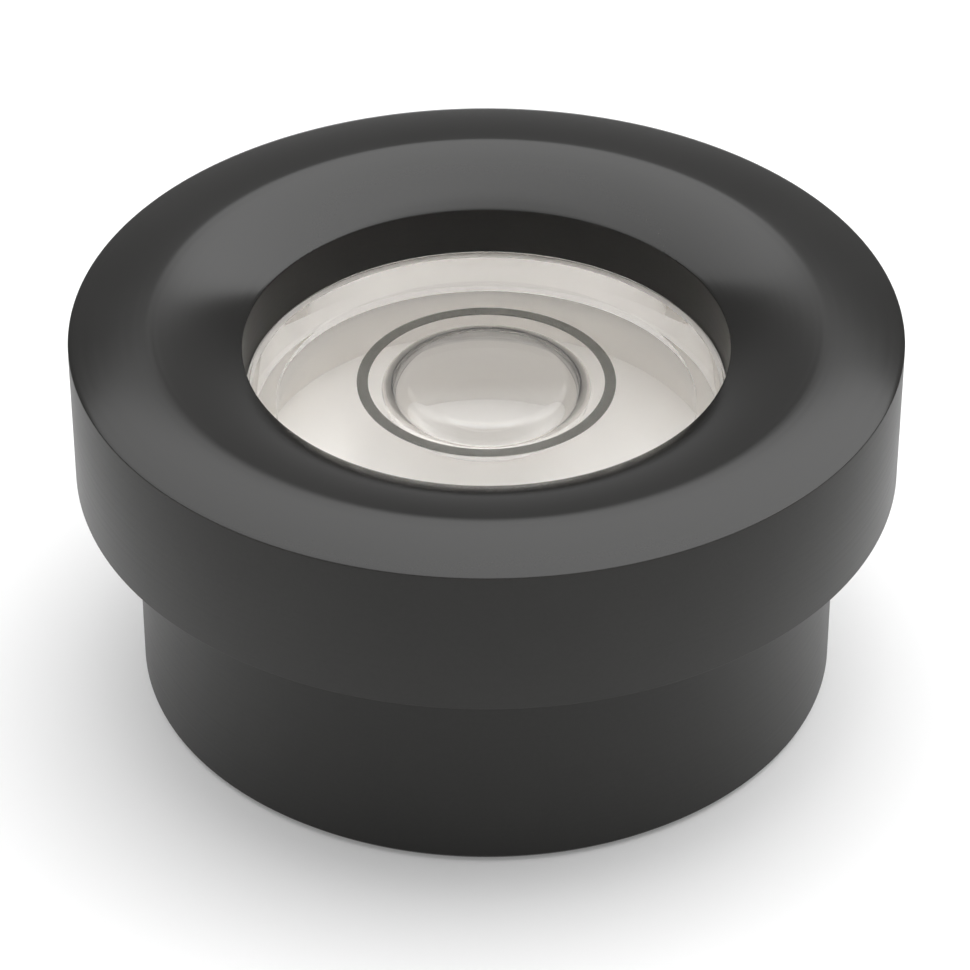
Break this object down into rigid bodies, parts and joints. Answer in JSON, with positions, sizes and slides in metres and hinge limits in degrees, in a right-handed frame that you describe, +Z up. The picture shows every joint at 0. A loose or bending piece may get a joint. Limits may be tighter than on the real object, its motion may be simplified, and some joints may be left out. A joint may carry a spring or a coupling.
{
  "type": "bullseye level",
  "caption": "Round bullseye level: a bubble vial with a clear domed cap and a centring ring, sunk in a black turned metal housing with a wide collar.",
  "frame": {"origin": "centre of the housing's bottom face, on the axis of the body and bore", "axes": "+Z up along the axis of the turned housing, through the middle of the reading ring; the part is round about it"},
  "size_m": [0.021, 0.021, 0.0103],
  "materials": {
    "housing": "black anodised, finely turned, satin",
    "vial_clear": "clear moulded acrylic, polished",
    "vial_white": "white moulded plastic, smooth",
    "liquid": "clear, faintly tinted light spirit",
    "air": "air",
    "print": "dark olive-grey pad print, matt"
  },
  "bodies": {
    "root": {"housing": "housing", "vial_body": "vial_clear", "vial_base": "vial_white", "liquid": "liquid", "air_bubble": "air", "reading_ring": "print"}
  },
  "joints": []
}
